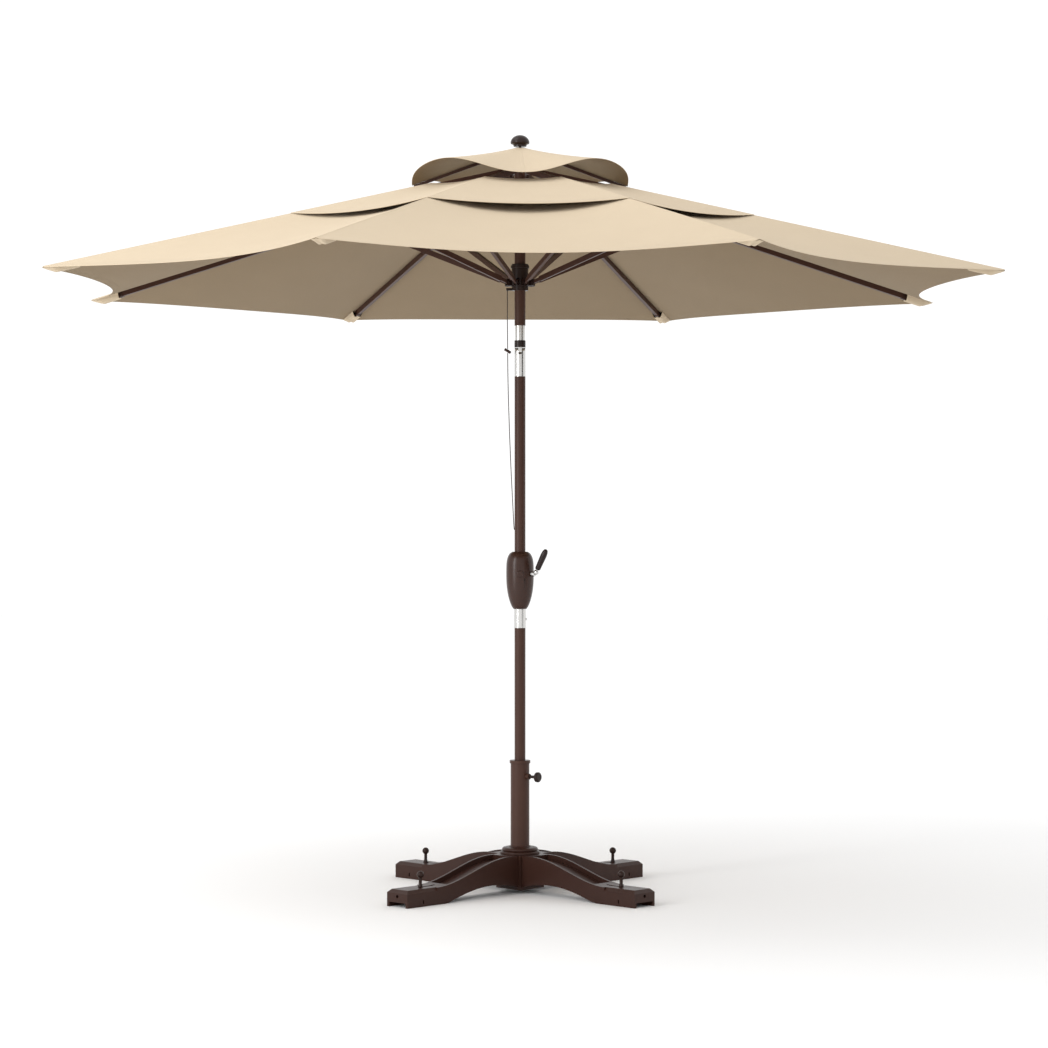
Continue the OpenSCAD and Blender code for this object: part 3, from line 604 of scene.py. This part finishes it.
rounded_part("crown_hub", "moulding", 0.0006, dark_nylon, "bronze_plastic")
rounded_part("runner", "moulding", 0.0006, glossy_nylon, "bronze_plastic")
runner_pivot_r = 0.046
runner_z = 2.118
# The canopy stands a little turned on the pole, so that the rib in front is off the middle.
turn = math.radians(1.5)


def rib_heading(i):
    return math.radians(-90 + 45 * (i - 0.5)) + turn


for i in range(1, 9):
    heading = rib_heading(i)
    deselect_all()
    bpy.ops.mesh.primitive_cylinder_add(
        vertices=24, radius=0.0038, depth=0.0204, rotation=(math.radians(90), 0, heading),
        location=(runner_pivot_r * math.cos(heading), runner_pivot_r * math.sin(heading), runner_z),
    )
    pin = bpy.context.object
    apply_modifier(pin, "BEVEL", width=0.0013, segments=3, limit_method="ANGLE")
    settle(pin, f"runner_pin_{i}", glossy_coat)
    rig.ride(pin, "runner")
    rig.slot(pin, "bronze_steel")

# ---------- Ribs and struts ----------
# Steel box-section bars in the poles' bronze coat. Each rib hinges on a pin in the crown,
# and each strut forks round its rib and turns on a rivet through it.

for i in range(1, 9):
    rounded_part(f"rib_{i}", "bar", 0.0012, steel_coat, "bronze_steel")
    rounded_part(f"strut_{i}", "bar", 0.0010, steel_coat, "bronze_steel")

# ---------- Canopy: main cloth ----------
# Woven polyester in eight panels, sewn over the ribs, with a folded hem. Each rib carries
# the half panels on its two sides, so that they fold with it.

# The ribs' hinges stand at crown_z and hinge_r, and the ribs fall outwards by slope. Half is
# the angle between a rib and the middle of a panel.
crown_z = 2.507
hinge_r = 0.038
slope = math.radians(14)
half = math.radians(22.5)
rib_h = 0.020
cloth_t = 0.0012
rib_gap = 0.0019
hem_r = 1.690
# Half widths of the seam's own ridge and of the strip that stays unfolded over the rib.
ridge_half = 0.0055
seam_half = 0.012


def cloth_finish(name, light, dark):
    """Woven polyester: a plain weave with slubs, and rows of stitches along hems and seams."""
    finish, shader, place = new_finish(name)
    uv = place.add("ShaderNodeUVMap", {"uv_map": "weave"}, {})
    u = uv.part(0)
    v = uv.part(1)
    edge = place.add("ShaderNodeAttribute", {"attribute_name": "from_edge"}, {}, "Fac")
    seam = place.add("ShaderNodeAttribute", {"attribute_name": "from_seam"}, {}, "Fac")
    yarn = 0.0016
    weave = (u * (math.tau / yarn)).sine() * (v * (math.tau / yarn)).sine()
    slub = uv.scaled((900, 14, 1)).noise(1.0, 2.0)
    slub_across = uv.scaled((14, 900, 1)).noise(1.0, 2.0)
    cloud = uv.noise(5.0, 3.0)
    tone = cloud * 0.35 + slub * 0.4 + slub_across * 0.4 + weave * 0.06 - 0.08
    stitch_pitch = 0.005
    dash_u = u.math("MAXIMUM", (u * (math.tau / stitch_pitch)).sine() + 0.35, 0)
    dash_v = v.math("MAXIMUM", (v * (math.tau / stitch_pitch)).sine() + 0.35, 0)
    hem_width = 0.022
    hem_stitch = (edge.near(0.004, 0.001) + edge.near(hem_width, 0.001)) * dash_u
    seam_stitch = seam.near(0.0035, 0.0009) * dash_v
    stitch = uv.math("MINIMUM", hem_stitch + seam_stitch, 1)
    groove = edge.near(hem_width + 0.0012, 0.0022) + seam.near(0.0062, 0.0022)
    relief = weave * 0.25 + slub * 0.35 + stitch * 1.2 - groove * 0.8
    cloth = tone.blend((*dark, 1), (*light, 1))
    thread = [min(1, 1.05 * c) for c in light]
    connect(
        shader,
        Base_Color=(stitch * 0.5).blend(cloth, (*thread, 1)),
        Roughness=0.78 + 0.14 * slub,
        Normal=relief.bump(0.0005),
    )
    shader.inputs["Sheen Weight"].default_value = 0.05
    shader.inputs["Sheen Roughness"].default_value = 0.5
    shader.inputs["Specular IOR Level"].default_value = 0.25
    return finish


cloth_top = cloth_finish("canopy cloth, outer face", (0.66, 0.545, 0.39), (0.57, 0.46, 0.325))
# The inner face is the same cloth in a darker copy: painted shade for the canopy's dim underside.
cloth_in_painted_shade = cloth_finish("canopy cloth, inner face", (0.295, 0.218, 0.133), (0.225, 0.165, 0.098))


# By default a sheet's lower face takes that darker copy of the cloth, with its painted shade.
def sewn_sheet(name, grid, weave_of, edge_of, seam_of, faces=(cloth_top, cloth_in_painted_shade)):
    """A sheet from a grid of points, with a thickness below it and the measures for its stitches."""
    rows = len(grid)
    cols = len(grid[0])
    mesh = bpy.data.meshes.new(name)
    patches = [
        (r * cols + c, (r + 1) * cols + c, (r + 1) * cols + c + 1, r * cols + c + 1)
        for r in range(rows - 1) for c in range(cols - 1)
    ]
    mesh.from_pydata([p for row in grid for p in row], [], patches)
    weave = mesh.uv_layers.new(name="weave")
    for face in mesh.polygons:
        for loop in face.loop_indices:
            weave.data[loop].uv = weave_of(mesh.vertices[mesh.loops[loop].vertex_index].co, face.center)
    for label, measure in (("from_edge", edge_of), ("from_seam", seam_of)):
        layer = mesh.attributes.new(label, "FLOAT", "POINT")
        for r in range(rows):
            for c in range(cols):
                layer.data[r * cols + c].value = measure(r, c)
    piece = bpy.data.objects.new(name, mesh)
    bpy.context.collection.objects.link(piece)
    for finish in faces:
        mesh.materials.append(finish)
    select_only(piece)
    apply_modifier(piece, "SOLIDIFY", thickness=cloth_t, offset=-1, material_offset=1)
    bpy.ops.object.shade_smooth_by_angle(angle=math.radians(50))
    return piece


def flat_height(d):
    """Height of a flat panel that lies on the ribs, at distance d along the panel's middle line."""
    rib_top = crown_z + rib_h / 2 / math.cos(slope)
    return rib_top + rib_gap + cloth_t - math.tan(slope) * (d / math.cos(half) - hinge_r)


def gore_points(inner_r, outer_r, dip, blunt, bands, rows, height):
    """The half panels on both sides of a rib, in the rib's own frame: x along it and y across.

    Columns run side by side along the seam and then fan out to the middle of the panel. The
    last rows follow the hem, which curves in by dip and is cut square to the rib at the tip."""
    reach = outer_r * math.cos(half)
    width = outer_r * math.sin(half)
    # These columns stand beside the seam, this far from the rib's middle.
    sides = [0.0004, 0.0045, ridge_half, seam_half, 0.022]
    spread = [k / 22 for k in range(23)]
    lines = [(y, 0.0) for y in sides] + [(sides[-1] * (1 - t), t) for t in spread[1:]]
    columns = [(-1, y, t) for y, t in reversed(lines)] + [(1, y, t) for y, t in lines]
    grid = []
    depth = []
    ends = []
    for side, start, fan in columns:
        # Where the column meets the curved hem, found by repeated steps towards it.
        x = outer_r
        for _ in range(30):
            y = start + fan * x * math.tan(half)
            u = x * math.sin(half) - y * math.cos(half)
            hem = reach - dip * (1 - (u / width) ** 2)
            x = (hem - y * math.sin(half)) / math.cos(half)
        outer = min(x, blunt)
        inner = (inner_r - start * math.tan(half)) / (1 + fan * math.tan(half) ** 2)
        ends.append((inner, outer))
    for r in range(rows + 1 + 2 * len(bands)):
        row = []
        far = []
        for (side, start, fan), (inner, outer) in zip(columns, ends):
            if r < len(bands):
                x = inner + bands[r]
            elif r > rows + len(bands):
                x = outer - bands[rows + 2 * len(bands) - r]
            else:
                x = inner + bands[-1] + (outer - inner - 2 * bands[-1]) * (r - len(bands)) / rows
            y = start + fan * x * math.tan(half)
            u = abs(x * math.sin(half) - y * math.cos(half))
            d = x * math.cos(half) + y * math.sin(half)
            row.append((x, side * y, height(side, y, u, d)))
            far.append(min(x - inner, outer - x))
        grid.append(row)
        depth.append(far)
    return grid, depth


def turned(grid, heading):
    swing = Matrix.Rotation(heading, 4, "Z")
    return [[swing @ Vector(p) for p in row] for row in grid]


def gore(name, i, inner_r, outer_r, dip, blunt, rows, height):
    """One rib's cloth in three pieces that ride on the rib: its seam strip and two half panels."""
    heading = rib_heading(i)
    # The hem's own rows, this far in from the edge.
    bands = [0, 0.0015, 0.0215, 0.023]
    grid, depth = gore_points(inner_r, outer_r, dip, blunt, bands, rows, height)
    back = Matrix.Rotation(-heading, 3, "Z")

    def weave_of(point, centre):
        p = back @ point
        side = math.copysign(1, (back @ centre).y)
        u = -side * p.x * math.sin(half) + p.y * math.cos(half)
        v = p.x * math.cos(half) + side * p.y * math.sin(half)
        return u, v

    across = outer_r * math.sin(half)
    along = (outer_r - inner_r) / math.cos(slope)
    straight = math.sin(half) * math.cos(half) * (outer_r**2 - inner_r**2)
    curve = 4 / 3 * outer_r * math.sin(half) * dip
    strip = 2 * seam_half * along
    panel = ((straight - curve) / math.cos(slope) - strip) / 2
    points = turned(grid, heading)
    cols = len(grid[0])
    sideways = Vector((-math.sin(heading), math.cos(heading), 0))
    # Only the panels draw in as the ribs fold. The strip along the seam keeps its width.
    strip_from = cols // 2 - 4
    strip_to = cols // 2 + 3
    for part, first, last, side in (
        ("left", 0, strip_from, -1), ("seam", strip_from, strip_to, 0), ("right", strip_to, cols - 1, 1),
    ):
        piece = sewn_sheet(
            f"{name}_{part}", [row[first:last + 1] for row in points], weave_of,
            lambda r, c: depth[r][first + c], lambda r, c: abs(grid[r][first + c][1]),
        )
        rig.ride(piece, f"rib_{i}")
        if side:
            anchor = side * seam_half * sideways
            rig.squash(piece, "canopy_fold", axis=sideways, anchor=(anchor.x, anchor.y, crown_z), keep=0.16)
        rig.slot(piece, "cloth")
        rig.replaces(piece, f"gore_{i}")
        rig.sheet(
            piece, flat=(across if side else 2 * seam_half, along), held="stretched",
            rests_on=[f"rib_{i}"], area=panel if side else strip,
        )


# The seams would meet the hem at tip_r, but the corners are cut square at tip_cut. The hem
# curves in between them to main_mid from the middle, on a panel's middle line.
main_inner = 0.620
hem_curve = 0.140
main_mid = hem_r * math.cos(half) - hem_curve
tip_r = 1.703
tip_cut = 1.690
tip_dip = tip_r * math.cos(half) - main_mid
# The front panel hangs slacker than the others.
side_sag = 0.048
front_sag = 0.066


def main_sag(i, side):
    """How far the panel on that side of rib i hangs below a flat one, at the middle of its hem."""
    return front_sag if (i, side) in ((8, 1), (1, -1)) else side_sag


def main_height(i):
    """The height of rib i's main cloth, which sags between the ribs, most at the hem."""

    def height(side, y, u, d):
        slack = max(0, 1 - (u / (d * math.tan(half))) ** 2)
        seam = 0.0006 * max(0, 1 - y / ridge_half)
        return flat_height(d) - main_sag(i, side) * slack * math.sqrt(d / main_mid) + seam

    return height


for i in range(1, 9):
    gore(f"main_cloth_{i}", i, main_inner, tip_r, tip_dip, tip_cut, rows=30, height=main_height(i))

# ---------- Canopy: tip pockets and rib caps ----------
# Under each corner a patch of the cloth is sewn on three sides, and the rib's end sits in
# it. A nylon cap on the rib stops the cloth from creeping in along it.

rib_end = 1.640
pocket_from = 1.572
pocket_half = 0.021
pocket_depth = 0.0006 + rib_h / math.cos(slope) + 0.0026


def pocket_point(x, share):
    """A point of the pocket, at x along the rib and share of its half width across."""
    half_width = min(pocket_half, 0.9 * (tip_r - x) - 0.002)
    y = share * half_width
    d = x * math.cos(half) + abs(y) * math.sin(half)
    u = x * math.sin(half) - abs(y) * math.cos(half)
    # All corners are alike, so rib 2 stands for each of them.
    over = main_height(2)(1, abs(y), u, d) - cloth_t - 0.0004
    fall = min(1, (1 - abs(share)) / 0.58)
    close = max(0.04, min(1, (tip_cut - x) / (tip_cut - rib_end - 0.004)))
    return x, y, over - pocket_depth * math.sin(fall * math.pi / 2) * close


for i in range(1, 9):
    heading = rib_heading(i)
    along = [pocket_from + (tip_cut - 0.001 - pocket_from) * k / 24 for k in range(25)]
    across = [-1 + k / 12 for k in range(25)]
    grid = [[pocket_point(x, share) for share in across] for x in along]
    back = Matrix.Rotation(-heading, 3, "Z")
    # The pocket swaps the faces: its own face takes the darker copy of the cloth, with its painted shade.
    pocket = sewn_sheet(
        f"tip_pocket_{i}", turned(grid, heading), lambda point, centre: ((back @ point).y, (back @ point).x),
        lambda r, c: min(along[r] - pocket_from, pocket_half * (1 - abs(across[c]))),
        lambda r, c: 1, (cloth_in_painted_shade, cloth_top),
    )
    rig.ride(pocket, f"rib_{i}")
    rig.slot(pocket, "cloth")
    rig.sheet(
        pocket, flat=(0.075, 0.122), held="stretched", rests_on=[f"main_cloth_{i}_seam"],
        area=0.0068,
    )
    axis = Vector((math.cos(heading), math.sin(heading), 0))
    cap_at = pocket_from + 0.004
    middle = crown_z - math.tan(slope) * (cap_at - hinge_r) - 0.0012
    deselect_all()
    bpy.ops.mesh.primitive_cube_add(
        size=1, location=(axis.x * cap_at, axis.y * cap_at, middle), rotation=(0, slope, heading),
        scale=(0.034, 0.0174, 0.0222),
    )
    rib_cap = bpy.context.object
    bpy.ops.object.transform_apply(location=False, rotation=False, scale=True)
    bpy.ops.object.mode_set(mode="EDIT")
    bpy.ops.mesh.select_mode(type="FACE")
    bpy.ops.mesh.select_all(action="SELECT")
    bpy.ops.mesh.bevel(offset=0.0028, segments=4, affect="EDGES")
    bpy.ops.object.mode_set(mode="OBJECT")
    settle(rib_cap, f"rib_cap_{i}", dark_nylon)
    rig.ride(rib_cap, f"rib_{i}")
    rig.slot(rib_cap, "bronze_plastic")

# ---------- Canopy: flounce ----------
# A second tier of the same cloth lies on the ribs over the main canopy's inner edge. Wind
# goes out through the gap under its lower hem.

flounce_inner = 0.335
flounce_outer = 0.845
# Beyond its corners, so that they stay whole.
flounce_uncut = 1.0
flounce_sag = 0.019


def flounce_height(side, y, u, d):
    """The flounce hangs less than the main cloth, so that a gap opens under its hem."""
    slack = 1 - (u / (d * math.tan(half))) ** 2
    drop = flounce_sag * max(0, slack) * d / (flounce_outer * math.cos(half))
    seam = 0.0005 * max(0, 1 - y / ridge_half)
    return flat_height(d) + cloth_t + 0.0008 - drop + seam


for i in range(1, 9):
    gore(
        f"flounce_cloth_{i}", i, flounce_inner, flounce_outer, dip=0, blunt=flounce_uncut, rows=16,
        height=flounce_height,
    )

# ---------- Vent cap ----------
# One square of the cloth over four short arms on the crown. Its edge rises between the
# arms, so that air gets out. It is cut into four quarters here, one to an arm.

arm_z = 2.576
arm_pivot_r = 0.025
cap_slope = math.radians(20)
cap_r = 0.376
cap_side_r = 0.382
cap_lift = 0.062
arm_h = 0.010


def arm_heading(i):
    return math.radians(-90 + 90 * (i - 1)) + turn


def cap_point(r_share, f, heading):
    """A point of the cap in its arm's frame. Its edge is fuller beside the left and right arms,
    and rises less at the back than at the front."""
    from_front = f + heading - arm_heading(1)
    fuller = math.sin(from_front) ** 2
    lift = cap_lift * (1 - 0.3 * max(0, -math.cos(from_front)))
    wave = abs(math.sin(2 * f)) ** (2 - 1.2 * fuller)
    edge = cap_r + (cap_side_r - cap_r) * wave
    r = 0.017 + (edge - 0.017) * r_share
    rise = arm_h / 2 / math.cos(cap_slope) + 0.0006 + cloth_t
    z = arm_z - math.tan(cap_slope) * (r - arm_pivot_r) + rise + lift * wave * (r / cap_side_r) ** 1.35
    return r * math.cos(f), r * math.sin(f), z


for i in range(1, 5):
    rounded_part(f"cap_arm_{i}", "bar", 0.0006, steel_coat, "bronze_steel")
    heading = arm_heading(i)
    shares = [k / 20 * 0.94 for k in range(21)] + [0.945, 0.996, 1.0]
    angles = [math.radians(45) * math.copysign(abs(k / 22) ** 1.3, k) for k in range(-22, 23)]
    grid = [[cap_point(s, f, heading) for f in angles] for s in shares]
    back = Matrix.Rotation(-heading, 3, "Z")
    quarter = sewn_sheet(
        f"cap_cloth_{i}", turned(grid, heading),
        lambda point, centre: ((back @ point).y, (back @ point).x),
        lambda r, c: (1 - shares[r]) * 0.37, lambda r, c: abs(grid[r][c][1]),
    )
    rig.ride(quarter, f"cap_arm_{i}")
    side = (-math.sin(heading), math.cos(heading), 0)
    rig.squash(quarter, "canopy_fold", axis=side, anchor=(0, 0, arm_z), keep=0.25)
    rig.slot(quarter, "cloth")
    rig.replaces(quarter, "vent_cap")
    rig.sheet(quarter, flat=(0.56, 0.40), held="stretched", rests_on=[f"cap_arm_{i}"], area=0.118)

# ---------- Finial ----------
# A glossy nylon knob. It screws onto the crown's stem from above and holds the middle of
# the cap's cloth down.

rounded_part("finial", "turning", 0.0006, glossy_nylon, "bronze_plastic")

# ---------- Studio ----------
# A pale floor, an even pale surround, and two soft lamps, one beside the umbrella at the
# front left and one above it.

deselect_all()
bpy.ops.mesh.primitive_plane_add(size=60)
floor = bpy.context.object
floor.name = "floor"
paint = bpy.data.materials.new("floor paint")
paint.use_nodes = True
paint.node_tree.nodes["Principled BSDF"].inputs["Base Color"].default_value = (0.93, 0.93, 0.93, 1)
paint.node_tree.nodes["Principled BSDF"].inputs["Roughness"].default_value = 0.9
floor.data.materials.append(paint)
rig.stage(floor)

world = bpy.data.worlds.new("surround")
world.use_nodes = True
world.node_tree.nodes["Background"].inputs["Color"].default_value = (1, 1, 1, 1)
world.node_tree.nodes["Background"].inputs["Strength"].default_value = 1.08
bpy.context.scene.world = world
bpy.context.scene.view_settings.view_transform = "Standard"


def facing(place, target):
    return (Vector(target) - Vector(place)).to_track_quat("-Z", "Y").to_euler()


def soft_lamp(name, place, target, width, height, power):
    """A lamp behind a rectangular diffuser at place, facing target."""
    data = bpy.data.lights.new(name, "AREA")
    data.shape = "RECTANGLE"
    data.size = width
    data.size_y = height
    data.energy = power
    lamp = bpy.data.objects.new(name, data)
    lamp.location = place
    lamp.rotation_euler = facing(place, target)
    bpy.context.collection.objects.link(lamp)


soft_lamp("key lamp", (-5.2, -4.4, 2.9), (0, 0, 1.6), 1.1, 4.4, 190)
soft_lamp("top lamp", (-3.0, -1.0, 6.5), (0, 0, 1.9), 3.0, 3.0, 60)

# A dark card on the right takes the white surround out of the reflections on that side.
deselect_all()
card_at = (4.6, -3.6, 2.3)
bpy.ops.mesh.primitive_plane_add(size=3.0, location=card_at, rotation=facing(card_at, (0, 0, 2.3)))
card = bpy.context.object
card.name = "dark card"
felt = bpy.data.materials.new("dark felt")
felt.use_nodes = True
felt.node_tree.nodes["Principled BSDF"].inputs["Base Color"].default_value = (0.03, 0.03, 0.03, 1)
felt.node_tree.nodes["Principled BSDF"].inputs["Roughness"].default_value = 1.0
card.data.materials.append(felt)
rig.stage(card)

# ---------- Size ----------
# The size of the finished object, beside that of the CAD parts.

made_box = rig.bounds()
with open("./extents.json", "w") as f:
    json.dump({"cad": [list(p) for p in cad_box], "visual": [list(p) for p in made_box]}, f)
